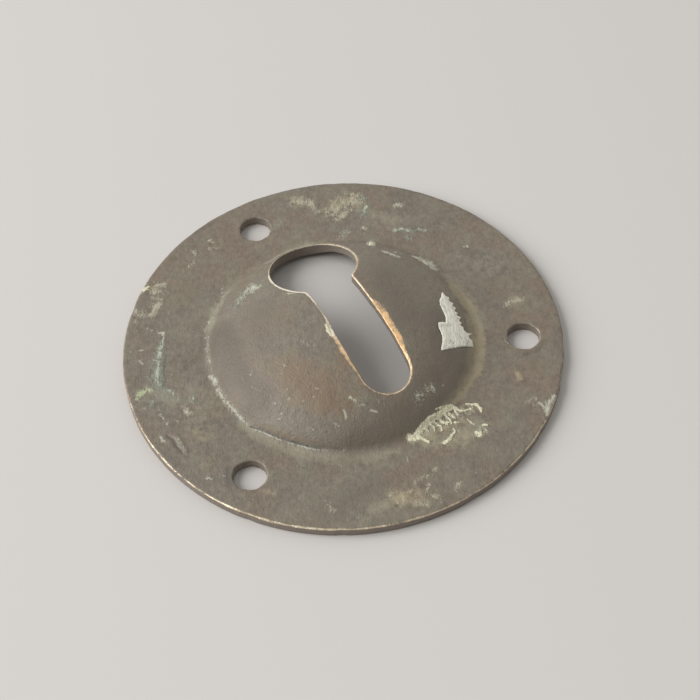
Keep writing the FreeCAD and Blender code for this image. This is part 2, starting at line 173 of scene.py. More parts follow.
PALE_AND_HIGHLIGHT_MARKS = (
    # Smudge beside the round end
    (0.66, (-6.8, 9.9, 0.5), (-6.1, 10.4, 0.6), (-5.8, 9.8, 0.4)),
    (0.55, (-8.9, 9.2, 0.25), (-8.0, 9.6, 0.4), (-7.2, 10.1, 0.5), (-6.6, 10.9, 0.3)),
    # Streak on the left of the flange
    (0.9, (-17.7, 11.3, 0.14), (-17.3, 11.1, 0.12)),
    (0.8, (-17.4, 11.2, 0.12), (-17.7, 10.4, 0.14), (-18.2, 9.6, 0.16), (-18.9, 8.6, 0.2),
        (-19.3, 7.9, 0.2)),
    (0.75, (-19.3, 7.9, 0.2), (-19.8, 7.0, 0.16), (-20.2, 6.2, 0.18), (-20.7, 5.3, 0.15)),
    (0.85, (-19.9, 8.0, 0.09), (-19.45, 7.45, 0.13)), (0.85, (-20.9, 5.4, 0.14), (-20.7, 4.4, 0.12)),
    # Specks left of that streak
    (0.6, (-21.8, 10.3, 0.13)), (0.6, (-20.8, 10.0, 0.14), (-20.4, 9.9, 0.1)),
    (0.6, (-21.3, 8.6, 0.16), (-21.2, 7.9, 0.14)), (0.6, (-21.7, 7.0, 0.16)), (0.55, (-21.5, 6.2, 0.12)),
    (0.65, (-19.9, 12.8, 0.14)), (0.6, (-18.7, 12.6, 0.12)), (0.6, (-18.4, 12.0, 0.12)),
    (0.5, (-17.0, 8.8, 0.12)), (0.5, (-15.7, 13.4, 0.13)), (0.5, (-19.0, 5.1, 0.12)),
    # Specks right and below of it
    (0.75, (-20.1, 3.2, 0.14), (-20.0, 2.6, 0.18)), (0.6, (-22.2, 2.8, 0.18)), (0.6, (-23.5, 2.3, 0.16)),
    (0.7, (-18.2, 0.9, 0.16)), (0.65, (-19.9, 0.1, 0.16), (-19.5, -0.5, 0.2)), (0.6, (-18.1, -1.0, 0.16)),
    (0.6, (-21.0, -1.1, 0.18)), (0.5, (-22.3, 1.8, 0.2), (-22.2, -0.8, 0.2)),
    (0.7, (-23.4, -2.2, 0.2), (-23.5, -2.8, 0.2)),
    # Painted highlight on the raised edge beside the dent near the left rim
    (0.36, (-21.9, -3.0, 0.12), (-22.0, -4.0, 0.12), (-21.8, -5.0, 0.16)),
    (0.85, (-21.3, -9.5, 0.16), (-20.9, -9.8, 0.14)), (0.75, (-20.6, -9.7, 0.1)),
    (0.6, (-19.6, -10.1, 0.14)),
    # Line along the foot of the dome on the left, and painted highlights along the thin ridges of the crease
    (0.26, (-9.0, 12.8, 0.35), (-10.6, 11.4, 0.4), (-12.4, 9.7, 0.4), (-13.3, 8.2, 0.4), (-14.3, 5.5, 0.25)),
    (0.36, (-14.3, 5.5, 0.2), (-14.9, 3.2, 0.18)),
    (0.56, (-15.4, 2.8, 0.22), (-15.1, 2.0, 0.28), (-15.4, 0.6, 0.28), (-15.3, -1.2, 0.24),
        (-14.9, -3.6, 0.24)), (0.5, (-14.9, -3.6, 0.24), (-14.5, -5.4, 0.18)),
    (0.9, (-14.45, -5.8, 0.06), (-13.45, -7.1, 0.06), (-13.05, -7.8, 0.06), (-12.45, -8.7, 0.06),
        (-11.75, -9.6, 0.06), (-10.9, -10.5, 0.06), (-10.1, -11.35, 0.06)),
    (0.8, (-10.1, -11.35, 0.06), (-9.3, -12.05, 0.06), (-8.4, -12.65, 0.05)),
    # Flecks on the dome
    (0.6, (-11.3, -5.45, 0.1), (-11.1, -5.6, 0.1)), (0.65, (-9.8, -6.05, 0.12), (-9.6, -6.15, 0.12)),
    (0.65, (-10.5, -6.75, 0.1), (-10.3, -6.9, 0.1)), (0.6, (-11.1, -6.85, 0.1), (-10.9, -7.0, 0.1)),
    (0.55, (-11.7, -7.2, 0.12), (-11.4, -7.4, 0.1)), (0.5, (-8.9, -5.85, 0.1), (-8.7, -5.95, 0.1)),
    (0.55, (-8.6, -7.15, 0.1), (-8.4, -7.25, 0.1)), (0.5, (-9.0, -7.55, 0.1), (-8.8, -7.65, 0.1)),
    (0.55, (-6.7, -6.85, 0.12), (-6.5, -6.95, 0.1)), (0.55, (-7.5, -7.35, 0.12), (-7.3, -7.45, 0.1)),
    (0.5, (-9.5, -5.05, 0.1), (-9.3, -5.15, 0.1)), (0.5, (-9.0, -10.25, 0.1), (-8.8, -10.35, 0.1)),
    (0.5, (-9.0, -1.6, 0.12), (-8.7, -2.1, 0.14), (-8.3, -2.8, 0.12)),
    (0.4, (-9.6, -2.6, 0.16), (-9.2, -3.2, 0.14)),
    (0.42, (-5.8, -0.6, 0.08), (-5.3, -1.4, 0.08), (-5.0, -2.1, 0.07)),
    (0.4, (-4.7, -2.0, 0.14), (-4.4, -2.6, 0.12)), (0.8, (-5.1, -10.3, 0.12), (-5.3, -11.1, 0.14)),
    (0.8, (-3.9, -9.5, 0.16), (-3.6, -10.1, 0.14)), (0.65, (-3.4, -10.7, 0.13), (-2.8, -10.9, 0.12)),
    (0.6, (-2.5, -11.7, 0.14), (-2.0, -12.1, 0.14)), (0.5, (-4.6, -10.9, 0.1), (-4.4, -11.6, 0.1)),
    (0.42, (-1.5, -11.0, 0.12), (-1.1, -11.6, 0.1)), (0.42, (-6.7, -10.9, 0.1), (-6.3, -11.5, 0.1)),
    (0.42, (-11.5, -0.6, 0.1), (-11.9, -1.0, 0.08)), (0.4, (-12.4, -2.2, 0.07), (-11.8, -3.6, 0.06)),
    (0.85, (4.9, -11.75, 0.14), (5.1, -12.1, 0.12), (4.8, -12.35, 0.1)), (0.55, (4.4, -11.6, 0.18)),
    (0.55, (3.0, -12.05, 0.25), (3.4, -12.2, 0.2)), (0.6, (6.2, -11.95, 0.16)),
    # Chips and streaks on the dome's right wall and foot
    (1.15, (9.2, 10.4, 0.42), (9.55, 10.9, 0.44), (9.9, 11.35, 0.4)),
    (0.85, (9.5, 8.2, 0.18), (10.2, 7.5, 0.25), (10.8, 6.5, 0.22)), (0.6, (11.0, 7.7, 0.2)),
    (1.1, (13.2, 6.6, 0.45), (13.8, 5.8, 0.55), (14.3, 4.9, 0.55), (14.0, 4.0, 0.45)),
    # Pale band above the round end
    (0.4, (-1.4, 14.7, 0.3), (0.6, 15.0, 0.35), (2.6, 14.9, 0.35), (4.2, 14.3, 0.3)),
    # Upper flange
    (0.7, (-6.85, 21.45, 0.2)), (0.65, (-8.8, 13.8, 0.12)), (0.65, (-8.95, 13.25, 0.12)),
    (0.7, (19.2, 5.8, 0.12), (19.6, 5.6, 0.18)), (0.6, (15.6, 15.6, 0.2), (16.1, 15.2, 0.16)),
    (0.7, (13.4, 12.1, 0.18), (14.3, 11.9, 0.14), (14.7, 11.2, 0.12)),
    (0.6, (16.0, 10.9, 0.12), (16.5, 10.3, 0.14)),
    (0.75, (12.2, 17.2, 0.14), (11.6, 16.6, 0.16), (11.2, 16.2, 0.12)),
    (0.6, (10.2, 14.3, 0.16), (10.0, 13.7, 0.14)),
    # Lower flange
    (0.9, (14.9, -19.8, 0.22), (15.2, -19.1, 0.3), (15.9, -18.6, 0.3), (16.8, -18.1, 0.2)),
    (0.7, (14.9, -18.0, 0.16), (15.1, -18.6, 0.2)), (0.6, (14.3, -18.2, 0.16)),
    (0.4, (19.3, -4.2, 0.2), (19.9, -4.0, 0.2)), (0.36, (20.6, -4.6, 0.2), (21.2, -4.5, 0.16)),
    (0.55, (16.2, -8.6, 0.1), (16.3, -9.6, 0.12)), (0.55, (4.2, -22.7, 0.16)),
    (0.55, (-1.3, -17.3, 0.1), (-1.4, -18.0, 0.1)), (0.7, (-3.7, 6.15, 0.12), (-3.0, 5.55, 0.1)),
)
LIME_MARKS = (
    (0.95, (-23.8, 3.7, 0.2), (-23.5, 4.2, 0.32), (-23.0, 4.4, 0.34), (-22.3, 4.5, 0.28),
        (-21.9, 4.2, 0.18)),
)
CRUST_MARKS = (
    # Arc at the foot of the dome
    (1.0, (0.2, -15.4, 0.28), (0.9, -15.8, 0.26)),
    (1.0, (0.9, -15.5, 0.24), (1.2, -15.35, 0.26), (2.0, -14.95, 0.27), (2.8, -14.7, 0.25),
        (4.0, -14.5, 0.25), (4.8, -14.35, 0.25), (5.5, -14.15, 0.24), (6.2, -14.05, 0.26),
        (6.4, -14.3, 0.24)), (0.9, (4.2, -13.9, 0.08), (5.0, -13.85, 0.08), (5.8, -13.85, 0.1)),
    # Drips below it
    (0.95, (1.1, -15.6, 0.16), (1.4, -16.2, 0.14), (1.75, -16.75, 0.16)),
    (0.85, (2.1, -15.1, 0.17), (2.45, -15.6, 0.13)),
    (0.7, (3.0, -15.0, 0.14), (3.2, -15.4, 0.12), (2.95, -15.9, 0.09)),
    (0.85, (3.5, -14.9, 0.16), (3.9, -15.6, 0.14), (3.7, -16.15, 0.1)),
    (0.9, (4.2, -14.7, 0.12), (4.35, -15.4, 0.2), (4.75, -15.5, 0.22)),
    (0.95, (5.0, -14.6, 0.14), (5.2, -15.3, 0.11), (5.1, -15.9, 0.08)),
    (0.95, (5.5, -14.6, 0.15), (5.8, -15.4, 0.12)), (0.8, (5.5, -15.9, 0.16), (5.9, -16.1, 0.1)),
    (0.8, (6.3, -14.5, 0.13), (6.3, -15.2, 0.09)),
    (0.85, (6.5, -14.4, 0.13), (6.9, -14.9, 0.13), (7.5, -15.1, 0.12), (8.0, -15.2, 0.1)),
    (0.95, (7.9, -14.4, 0.12), (8.3, -14.7, 0.15), (8.8, -15.0, 0.16), (8.9, -15.6, 0.15),
        (8.7, -16.1, 0.1)), (0.6, (6.9, -16.2, 0.11), (7.2, -17.2, 0.11)),
    # Lumps farther down
    (0.95, (3.2, -17.7, 0.18), (4.0, -17.5, 0.16), (4.3, -17.3, 0.13), (4.9, -17.0, 0.1),
        (5.0, -16.6, 0.08)), (0.95, (6.9, -18.1, 0.1), (7.05, -18.75, 0.22), (7.3, -18.4, 0.12)),
    (0.95, (8.1, -17.7, 0.15), (8.35, -17.9, 0.12)), (0.7, (7.9, -18.2, 0.09), (7.95, -18.45, 0.08)),
    # Chip at the left of the leg, and the top left edge
    (1.25, (-2.1, -0.8, 0.2), (-2.25, -1.5, 0.27), (-2.2, -2.3, 0.18)),
    (0.85, (-16.8, 18.1, 0.22), (-16.1, 18.25, 0.2)),
    # Chips on the dome's right wall
    (0.66, (9.2, 10.4, 0.38), (9.75, 11.3, 0.42)),
    (0.55, (13.0, 6.7, 0.2), (13.3, 5.9, 0.24), (13.7, 4.9, 0.2)),
)
DUST_MARKS = (
    # Powder about the arc at the foot of the dome
    (0.75, (0.4, -15.8, 0.4), (2.6, -15.4, 0.5), (4.6, -15.2, 0.55), (6.3, -14.9, 0.5), (8.3, -15.2, 0.4)),
    (0.6, (3.4, -17.6, 0.45), (5.0, -16.9, 0.4)), (0.6, (6.9, -18.5, 0.45), (8.1, -17.9, 0.4)),
    (0.45, (2.8, -12.4, 0.5), (4.8, -11.9, 0.5)),
    # Two patches at the top right
    (0.8, (4.7, 22.2, 0.5), (5.6, 21.8, 0.6), (6.5, 21.1, 0.45)),
    (0.55, (6.6, 20.4, 0.25), (6.6, 19.2, 0.3)),
    (0.75, (8.2, 18.6, 0.65), (10.0, 19.0, 0.85), (11.8, 18.6, 0.7)),
    (0.95, (7.9, 17.1, 0.25), (9.0, 17.3, 0.3), (10.2, 17.6, 0.3)),
    (0.5, (10.8, 20.2, 0.35), (12.6, 19.2, 0.35)),
    # Lumps at the top left, along the rim
    (0.8, (-17.0, 18.0, 0.3), (-16.2, 18.1, 0.3)), (0.75, (-15.3, 18.2, 0.3), (-14.5, 17.6, 0.35)),
    (0.7, (-15.9, 17.2, 0.35), (-15.2, 16.9, 0.4)), (0.6, (-16.4, 16.4, 0.25), (-15.6, 15.9, 0.2)),
    (0.8, (-18.4, 14.7, 0.4)), (0.85, (-17.4, 14.3, 0.4), (-16.7, 14.9, 0.5), (-16.2, 15.4, 0.4)),
    (0.5, (-18.8, 15.8, 0.2), (-19.6, 14.0, 0.2)), (0.7, (-9.3, 20.9, 0.22), (-9.1, 20.1, 0.28)),
    (0.65, (-9.6, 19.4, 0.22), (-10.2, 19.0, 0.2), (-11.0, 18.9, 0.2)),
    (0.7, (-6.9, 21.4, 0.26), (-6.6, 20.9, 0.2)), (0.6, (-7.2, 20.2, 0.22), (-6.6, 19.9, 0.2)),
    # Right side and bottom
    (0.55, (7.0, 14.5, 0.4), (8.2, 14.4, 0.4)), (0.55, (10.2, 14.1, 0.3)),
    (0.5, (15.3, 15.8, 0.35), (16.2, 15.4, 0.3)), (0.45, (19.2, -4.3, 0.45), (20.8, -4.3, 0.4)),
    (0.36, (-11.6, -18.2, 0.3), (-11.4, -19.4, 0.35)), (0.5, (-5.4, -20.8, 0.3), (-4.6, -20.6, 0.2)),
    (0.5, (-4.6, -22.1, 0.3), (-3.9, -21.9, 0.3)), (0.45, (-3.2, -21.3, 0.3), (-2.9, -21.8, 0.25)),
    (0.5, (-3.4, -23.0, 0.25), (-2.4, -23.6, 0.3)), (0.45, (-1.2, -23.1, 0.3), (-0.6, -23.9, 0.3)),
    (0.5, (-1.6, -22.2, 0.2), (-0.9, -21.7, 0.2)), (0.4, (-2.0, -20.6, 0.25), (0.6, -20.3, 0.25)),
    (0.5, (1.2, -23.6, 0.25), (2.0, -22.9, 0.2)), (0.5, (15.0, -17.4, 0.35), (13.8, -17.3, 0.3)),
    (0.55, (-19.8, 0.3, 0.3), (-19.4, -0.7, 0.35)),
)
HAZE_AND_PAINTED_LIGHT_MARKS = (
    # Band along the foot of the dome on the lower left, right and lower right: lighter residue, with painted
    # light on the fillet, which lies in shade
    (0.95, (-15.1, -4.8, 0.4), (-14.2, -7.2, 0.5), (-12.7, -9.7, 0.6), (-11.0, -11.5, 0.7),
        (-9.0, -13.2, 0.7)),
    (0.9, (-9.0, -13.2, 0.7), (-7.4, -14.1, 0.7), (-5.0, -15.3, 0.6), (-2.0, -16.1, 0.5)),
    (1.1, (15.0, 2.5, 0.6), (15.2, -1.5, 0.8), (14.6, -5.0, 0.8), (13.2, -7.6, 0.7)),
    (1.1, (5.5, -13.8, 0.35), (8.0, -12.9, 0.5), (9.8, -11.6, 0.6), (11.3, -10.2, 0.6), (12.3, -8.9, 0.6)),
    # Other haze along the foot of the dome and on the flange
    (0.6, (-14.6, 4.5, 0.4), (-13.2, 8.2, 0.4), (-11.0, 11.0, 0.5), (-8.5, 13.0, 0.5)),
    (0.7, (2.0, -17.2, 0.7), (5.0, -17.4, 1.0), (7.6, -17.2, 0.8)),
    (0.6, (-21.5, 3.6, 1.2), (-20.5, 2.2, 1.0)), (0.5, (-18.5, -2.0, 1.4), (-18.0, 3.0, 1.0)),
    (0.7, (-7.6, -21.6, 0.7), (-6.2, -21.6, 0.6)), (0.5, (18.5, 3.5, 1.3), (21.0, 1.0, 1.3)),
    (0.5, (1.5, 19.7, 1.0), (-0.5, 18.0, 0.8)), (0.55, (12.0, 15.5, 1.2), (14.5, 13.0, 1.3)),
    (0.9, (-2.6, 14.1, 0.4), (0.5, 14.9, 0.6), (3.0, 14.8, 0.6), (4.6, 14.0, 0.4)),
    (0.5, (5.0, 14.6, 0.6), (8.0, 13.2, 0.6)),
)
OCHRE_AND_PAINTED_LIGHT_MARKS = (
    (0.65, (8.6, 19.0, 1.1), (11.0, 18.9, 1.1)), (0.6, (5.4, 21.8, 1.0)), (0.5, (-20.0, -4.0, 1.4)),
    (0.6, (-20.0, -8.0, 0.8)), (0.5, (-16.7, -13.8, 0.4), (-16.0, -14.5, 0.4)),
    (1.0, (14.95, -13.5, 0.3), (14.8, -14.1, 0.4)), (0.6, (20.3, -4.3, 0.8)),
    (0.7, (1.5, -16.0, 0.7), (4.0, -15.8, 1.0), (6.4, -15.9, 0.8)),
    (0.5, (3.4, -18.2, 1.0), (5.4, -17.6, 0.8)), (0.7, (-4.6, -21.4, 1.0), (-3.0, -22.2, 1.0)),
    # Band along the dome's foot on the right and lower right: lighter residue, with painted light on the
    # fillet, which lies in shade
    (1.3, (14.8, 1.0, 0.5), (14.8, -2.8, 0.7), (14.0, -6.0, 0.7), (12.6, -8.7, 0.7), (10.8, -10.9, 0.7)),
    (1.2, (10.8, -10.9, 0.7), (9.0, -12.4, 0.6), (6.8, -13.4, 0.4)), (0.5, (-15.8, 17.6, 0.9)),
)
RUST_MARKS = (
    (1.0, (-8.5, -3.5, 1.8), (-6.5, -7.5, 2.1), (-5.2, -9.6, 1.3)),
    (0.9, (-2.9, -6.2, 0.5), (-3.0, -4.8, 0.4)), (0.6, (-7.3, 11.7, 0.8), (-6.2, 12.3, 0.5)),
    (0.5, (1.0, -12.6, 1.0), (-1.0, -11.4, 0.8)), (0.4, (18.8, -1.0, 1.6), (17.2, -13.6, 1.3)),
    (0.35, (-11.5, 16.0, 1.4), (-13.0, 14.5, 1.0)),
    (0.6, (-13.4, -6.3, 0.25), (-12.0, -8.5, 0.25), (-10.4, -10.3, 0.25), (-8.6, -11.8, 0.2)),
)
UMBER_AND_SHADE_MARKS = (
    # Brown patina on the dome's front and right, darkened further as painted shade
    (0.8, (-6.0, -13.2, 1.5), (0.0, -13.2, 1.6), (4.0, -12.6, 1.9), (8.5, -9.6, 2.3), (10.8, -5.0, 2.3)),
    (0.6, (7.5, 3.0, 2.8), (6.5, -2.5, 2.4)), (0.5, (12.5, -18.5, 0.8)),
    (0.4, (-12.0, -19.5, 1.3), (-6.0, -19.0, 1.2)),
    # The next mark is painted shade on the far left of the dome, where the window light falls strongest
    (1.15, (-12.2, 6.4, 1.5), (-13.0, 1.0, 1.6), (-12.6, -4.0, 1.5)),
    (0.45, (-8.0, 5.0, 2.5), (-9.5, 1.0, 2.5)),
)
STAIN_AND_SHADE_MARKS = (
    (0.5, (-8.0, 23.5, 0.5), (-4.5, 24.0, 0.4)),
    (0.65, (-19.5, -11.4, 0.4), (-19.4, -10.2, 0.4), (-18.6, -9.2, 0.35)),
    # Painted shade in the dent near the left rim
    (0.7, (-22.8, -2.4, 0.12), (-22.4, -3.2, 0.13), (-22.5, -4.1, 0.13), (-22.25, -5.0, 0.12)),
    # The first mark below is painted shade under the right screw hole
    (0.5, (17.0, -11.5, 0.4), (18.4, -11.9, 0.4), (19.6, -11.2, 0.35)), (0.6, (-3.5, -20.8, 0.25)),
    (0.6, (-5.2, -22.2, 0.25)),
    (0.5, (-18.6, 8.0, 0.2), (-19.3, 6.7, 0.25), (-20.0, 5.2, 0.3), (-20.5, 4.0, 0.25)),
    (0.8, (-23.4, 3.8, 0.16)),
    # Painted shade along the crease at the foot of the dome, on the next three lines
    (0.95, (-14.3, -5.7, 0.07), (-13.3, -7.0, 0.07), (-12.9, -7.7, 0.07), (-12.3, -8.6, 0.07),
        (-11.6, -9.5, 0.08), (-10.8, -10.4, 0.08), (-10.0, -11.2, 0.08)),
    (0.9, (-10.0, -11.2, 0.08), (-9.2, -11.9, 0.07), (-8.3, -12.5, 0.06), (-7.0, -13.4, 0.05)),
    (0.7, (-11.7, -13.2, 0.12)), (0.7, (-13.9, -9.0, 0.1)), (0.8, (5.4, -14.1, 0.09)),
    (0.6, (2.6, -15.4, 0.2), (3.3, -15.7, 0.2)), (0.5, (4.0, -16.2, 0.3), (5.4, -16.6, 0.25)),
    (0.5, (-4.7, 19.4, 0.4), (0.9, 20.6, 0.3)),
)
FLECK_MARKS = (
    (1.0, (-10.4, -6.4, 1.8)), (0.8, (-9.0, -2.2, 1.5), (-6.0, -0.7, 1.5)), (0.8, (-11.8, -0.7, 1.0)),
    (0.9, (-4.0, -10.4, 1.4)), (0.5, (-6.0, 6.0, 2.6), (-9.0, 3.0, 2.6)),
    (0.7, (-20.8, 8.5, 1.6), (-19.5, 12.8, 1.4), (-15.5, 17.0, 1.4)),
    (0.6, (-21.0, 0.0, 1.6), (-20.8, -8.6, 1.2)), (0.7, (-5.0, -21.5, 1.6), (0.0, -21.8, 1.6)),
    (0.5, (9.0, 18.0, 2.4), (14.0, 14.0, 2.0)), (0.5, (15.0, -18.0, 1.4)),
)
# Pressed-in dents and raised places of the front: height, then a path of x, y and half width.
DENTS = (
    (-0.09, (-22.75, -2.3, 0.14), (-22.4, -3.2, 0.16), (-22.5, -4.1, 0.16), (-22.25, -5.1, 0.14)),
    (0.06, (-21.9, -2.8, 0.2), (-21.8, -5.2, 0.2)),
    (-0.09, (-14.3, -5.7, 0.09), (-13.3, -7.0, 0.09), (-12.9, -7.7, 0.09), (-12.3, -8.6, 0.09)),
    (-0.09, (-12.3, -8.6, 0.09), (-11.6, -9.5, 0.09), (-10.8, -10.4, 0.09), (-10.0, -11.2, 0.09)),
    (-0.07, (-10.0, -11.2, 0.09), (-9.2, -11.9, 0.08), (-8.3, -12.5, 0.08), (-7.0, -13.4, 0.07)),
    (-0.05, (17.6, -11.7, 0.25), (18.8, -11.8, 0.25)), (-0.05, (-4.4, -20.8, 0.3), (-3.6, -20.7, 0.25)),
    (0.05, (-3.8, -21.5, 0.35)), (-0.05, (-2.8, -22.1, 0.3)), (0.04, (-1.8, -23.4, 0.4)),
    (-0.04, (-5.4, -22.4, 0.3)), (-0.05, (16.2, -8.4, 0.18), (16.4, -10.2, 0.2)), (0.04, (-18.4, 14.7, 0.3)),
    (0.04, (-14.8, 17.4, 0.35)),
)
PITTED_MARKS = (
    (1.0, (-5.0, -21.6, 1.6), (0.5, -22.6, 1.6)), (0.8, (8.6, 18.8, 1.6), (11.8, 18.4, 1.2)),
    (0.6, (5.4, 21.8, 1.2)), (0.7, (-17.4, 15.2, 1.2), (-15.2, 17.6, 1.0)),
    (0.8, (-10.4, -6.4, 1.8), (-4.0, -10.4, 1.4)), (0.6, (1.5, -16.4, 1.0), (6.0, -16.4, 1.2)),
)
CRUST_HEIGHT = 0.12
PIT_HEIGHT = 0.08
PIT_SIZE = 0.9
WAVINESS = 0.035
WAVE_SIZE = 9.0
GRAIN = 0.012
GRAIN_SIZE = 0.8
BACK_WAVINESS = 0.015
BACK_WAVE_SIZE = 5.0
WALL_ROUGHNESS = 0.02


def stroke(points, path):
    """Field of one mark: 1 along its path, 0.5 at its half width and 0 at twice that."""
    field = np.zeros(len(points))
    for (x0, y0, w0), (x1, y1, w1) in zip(path, path[1:] or path):
        run = np.array([x1 - x0, y1 - y0])
        reach = 2.0 * max(w0, w1)
        near = np.flatnonzero(
            (np.abs(points[:, 0] - (x0 + x1) / 2) < abs(run[0]) / 2 + reach)
            & (np.abs(points[:, 1] - (y0 + y1) / 2) < abs(run[1]) / 2 + reach)
        )
        offset = points[near, :2] - (x0, y0)
        part = np.clip(offset @ run / max(float(run @ run), 1e-9), 0.0, 1.0)
        away = np.hypot(offset[:, 0] - part * run[0], offset[:, 1] - part * run[1])
        field[near] = np.maximum(field[near], 1.0 - 0.5 * away / (w0 + part * (w1 - w0)))
    return field


def painted(points, marks, seed, ragged, size):
    """Strongest mark at each point, its edges made ragged by noise."""
    strongest = np.zeros(len(points))
    for strength, *path in marks:
        strongest = np.maximum(strongest, strength * stroke(points, path))
    return strongest * (1.0 + ragged * fractal(points, size, seed))


def crust_field(points):
    return painted(points, CRUST_MARKS, seed=11, ragged=0.45, size=0.5)


def relief(points):
    """How far the front skin stands off the true pressed shape."""
    height = WAVINESS * fractal(points, WAVE_SIZE, seed=3) + GRAIN * fractal(points, GRAIN_SIZE, seed=5)
    for depth, *path in DENTS:
        height = height + depth * smooth(stroke(points, path) * 1.4)
    pitted = painted(points, PITTED_MARKS, seed=23, ragged=0.3, size=2.0)
    height = height + PIT_HEIGHT * pitted * fractal(points, PIT_SIZE, seed=25)
    lumps = 0.7 + 0.5 * noise(points, 0.3, seed=21)
    return height + CRUST_HEIGHT * lumps * smooth((crust_field(points) - 0.3) / 0.35)


def front_height(points):
    return np.minimum(skin_height(points, 0.0) + relief(points), BOX_TOP)


def back_height(points):
    lift = BACK_WAVINESS * (1.0 + fractal(points, BACK_WAVE_SIZE, seed=7))
    return np.maximum(skin_height(points, THICKNESS) + lift, 0.0)


def arc_points(centre, radius, start, end, spacing):
    """Points along an arc, without its last one."""
    count = max(2, round(abs(end - start) * radius / spacing))
    turns = np.linspace(start, end, count, endpoint=False)
    return np.column_stack([centre[0] + radius * np.cos(turns), centre[1] + radius * np.sin(turns)])


def line_points(start, end, spacing):
    """Points along a line, without its last one."""
    length = math.dist(start, end)
    parts = np.linspace(0.0, 1.0, max(2, round(length / spacing)), endpoint=False)[:, None]
    return np.array(start) * (1 - parts) + np.array(end) * parts


def ease_along(values, times):
    """Average each value with its neighbours along a closed border."""
    for _ in range(times):
        values = (np.roll(values, 1, axis=0) + 2 * values + np.roll(values, -1, axis=0)) / 4
    return values


def into_metal(outline, opening):
    """Unit vectors in the plan that point from an anticlockwise border into the metal."""
    along = np.roll(outline, -1, axis=0) - np.roll(outline, 1, axis=0)
    along /= np.linalg.norm(along, axis=1)[:, None]
    outward = np.column_stack([along[:, 1], -along[:, 0]])
    return outward if opening else -outward


class Border:
    """One edge of the sheet: rings of points from the front skin over the wall to the back skin."""

    def __init__(self, outline, into, width, drop, shape, wear_and_highlight, gold):
        front = [outline + into * (width * step)[:, None] for step in EASE_STEPS]
        back = [outline + into * BACK_EASE * step for step in BACK_EASE_STEPS]
        front_z = [
            front_height(ring) - drop * (1.0 - step) ** shape for ring, step in zip(front, EASE_STEPS)
        ]
        back_z = [
            back_height(ring) + BACK_EASE * BACK_EASE_RISE * (1.0 - step) ** 2
            for ring, step in zip(back, BACK_EASE_STEPS)
        ]
        rough = WALL_ROUGHNESS * (1.0 + fractal(outline, 0.6, seed=61))
        wall = [outline + into * rough[:, None] for _ in WALL_STEPS]
        wall_z = [front_z[-1] * (1 - part) + back_z[0] * part for part in WALL_STEPS]
        rings = zip(front + wall + back, front_z + wall_z + back_z)
        self.count = len(outline)
        self.rows = [np.column_stack([plan, z]) for plan, z in rings]
        self.front_ring = front[0]
        self.back_ring = back[-1]
        bare_share = [smooth((1.0 - step) / 0.45) for step in EASE_STEPS] + [0.6, 0.2, 0.0, 0.0]
        front_share = [1.0] * len(front) + [0.4, 0.1, 0.0, 0.0]
        wall_share = [0.0] * len(front) + [1.0] * len(wall) + [0.6]
        plain = [0.0] * len(self.rows)
        self.fields = {
            "gold": [gold * np.ones(self.count) for _ in self.rows],
            "bare_and_highlight": [np.clip(wear_and_highlight * share, 0.0, 1.2) for share in (bare_share + plain)[:len(self.rows)]],
            "front": [np.full(self.count, share) for share in (front_share + plain)[:len(self.rows)]],
            "wall": [np.full(self.count, share) for share in (wall_share + plain)[:len(self.rows)]],
        }


def keyhole_outline():
    """The keyhole's plan outline, anticlockwise from the right-hand neck."""
    def neck(side, rounding):
        across = HALF_SLOT + rounding
        drop = math.sqrt((BOW_RADIUS + rounding) ** 2 - across ** 2)
        return (KEY_X + side * across, BOW_Y - drop), math.atan2(drop, across)

    right, right_turn = neck(1, NECK_ROUND_RIGHT)
    left, left_turn = neck(-1, NECK_ROUND_LEFT)
    left_x = KEY_X - HALF_SLOT
    right_x = KEY_X + HALF_SLOT
    step = KEYHOLE_SPACING
    return np.vstack([
        arc_points((KEY_X, BOW_Y), BOW_RADIUS, -right_turn, math.pi + left_turn, step),
        arc_points(left, NECK_ROUND_LEFT, left_turn, 0.0, step),
        line_points((left_x, left[1]), (left_x, LEG_END_Y), step),
        arc_points((KEY_X, LEG_END_Y), HALF_SLOT, math.pi, FULL_TURN, step),
        line_points((right_x, LEG_END_Y), (right_x, right[1]), step),
        arc_points(right, NECK_ROUND_RIGHT, math.pi, math.pi - right_turn, step),
    ])


# Wear of the keyhole's border, as y and value: how far a leg's wall leans out, its eased edge, and its shine,
# which is worn brass with a painted highlight that is brightest on the lower left of the round end.
LEFT_LEAN = (
    (5.0, 0.0), (4.0, -0.05), (0.0, -0.06), (-2.0, 0.1), (-4.0, 0.12), (-6.0, 0.14), (-8.0, 0.03),
    (-9.5, 0.0),
)
RIGHT_LEAN = (
    (5.0, 0.0), (2.0, 0.0), (0.0, 0.04), (-1.5, 0.12), (-3.0, 0.12), (-5.0, 0.14), (-8.0, 0.02), (-9.5, 0.0),
)
FACET_WIDTH = (
    (0.5, 0.22), (0.0, 0.35), (-0.3, 0.75), (-0.8, 1.0), (-1.4, 1.02), (-2.4, 0.92), (-3.4, 0.82),
    (-5.0, 0.85), (-6.2, 0.66), (-7.2, 0.48), (-8.4, 0.36), (-9.6, 0.28),
)
CHIP_WIDTH = (
    (3.4, 0.28), (1.5, 0.22), (0.4, 0.26), (-0.4, 0.46), (-1.8, 0.52), (-3.0, 0.54), (-4.6, 0.6),
    (-6.0, 0.42), (-8.0, 0.22),
)
LEFT_EDGE = ((13.5, 0.18), (11.0, 0.24), (9.5, 0.34), (3.0, 0.32), (1.0, 0.22), (-8.0, 0.22), (-11.0, 0.28))
RIGHT_EDGE = ((14.0, 0.18), (12.5, 0.32), (7.0, 0.34), (5.0, 0.26), (-8.0, 0.28), (-11.0, 0.28))
